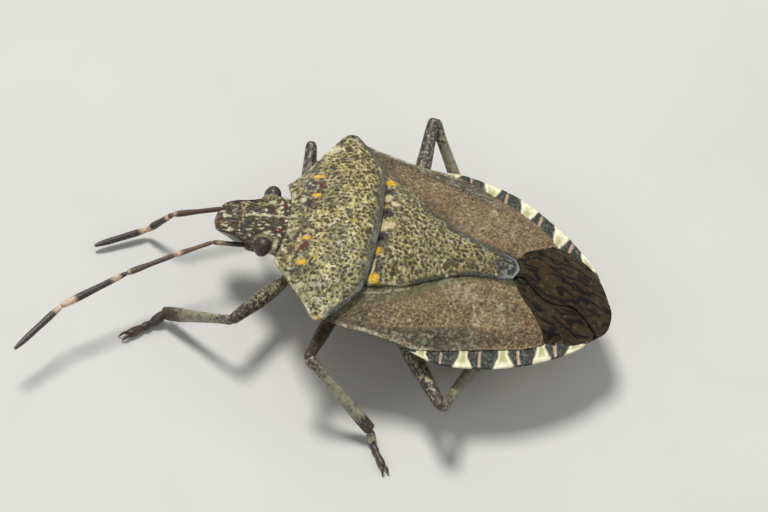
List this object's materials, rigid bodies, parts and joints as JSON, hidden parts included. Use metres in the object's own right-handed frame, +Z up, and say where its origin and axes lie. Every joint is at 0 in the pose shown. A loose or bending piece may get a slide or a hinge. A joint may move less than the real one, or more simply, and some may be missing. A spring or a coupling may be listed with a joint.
{
  "type": "brown marmorated stink bug",
  "caption": "Life-size still model of an adult brown marmorated stink bug, a mottled shield-shaped bug standing on its feet with its feelers reaching forward",
  "frame": {"origin": "on the floor under the middle of the bounding box", "axes": "+Z up, the head points along -Y, +X is the left side of the bug"},
  "size_m": [0.0142, 0.0212, 0.0048],
  "materials": {
    "shield_olive": "satin, densely pitted",
    "head_brown": "satin, densely pitted",
    "corium_tan": "leathery, finely pitted",
    "membrane_dark": "thin, softly shining, dark veins",
    "rim_cream": "satin, banded cream and dark",
    "underside_buff": "satin",
    "eye_maroon": "faceted, shining",
    "feeler_brown": "satin, pale rings",
    "leg_speckled": "satin, speckled",
    "foot_dark": "satin"
  },
  "bodies": {
    "root": {"head": "head_brown", "eye_left": "eye_maroon", "eye_right": "eye_maroon", "rostrum": "leg_speckled", "antenna_left_1": "feeler_brown", "antenna_left_2": "feeler_brown", "antenna_left_3": "feeler_brown", "antenna_left_4": "feeler_brown", "antenna_left_5": "feeler_brown", "antenna_right_1": "feeler_brown", "antenna_right_2": "feeler_brown", "antenna_right_3": "feeler_brown", "antenna_right_4": "feeler_brown", "antenna_right_5": "feeler_brown", "pronotum": "shield_olive", "scutellum": "shield_olive", "corium_left": "corium_tan", "corium_right": "corium_tan", "membrane_left": "membrane_dark", "membrane_right": "membrane_dark", "thorax": "underside_buff", "abdomen": "rim_cream", "coxa_fore_left": "underside_buff", "femur_fore_left": "leg_speckled", "tibia_fore_left": "leg_speckled", "tarsus_fore_left": "foot_dark", "coxa_fore_right": "underside_buff", "femur_fore_right": "leg_speckled", "tibia_fore_right": "leg_speckled", "tarsus_fore_right": "foot_dark", "coxa_mid_left": "underside_buff", "femur_mid_left": "leg_speckled", "tibia_mid_left": "leg_speckled", "tarsus_mid_left": "foot_dark", "coxa_mid_right": "underside_buff", "femur_mid_right": "leg_speckled", "tibia_mid_right": "leg_speckled", "tarsus_mid_right": "foot_dark", "coxa_hind_left": "underside_buff", "femur_hind_left": "leg_speckled", "tibia_hind_left": "leg_speckled", "tarsus_hind_left": "foot_dark", "coxa_hind_right": "underside_buff", "femur_hind_right": "leg_speckled", "tibia_hind_right": "leg_speckled", "tarsus_hind_right": "foot_dark"}
  },
  "joints": []
}
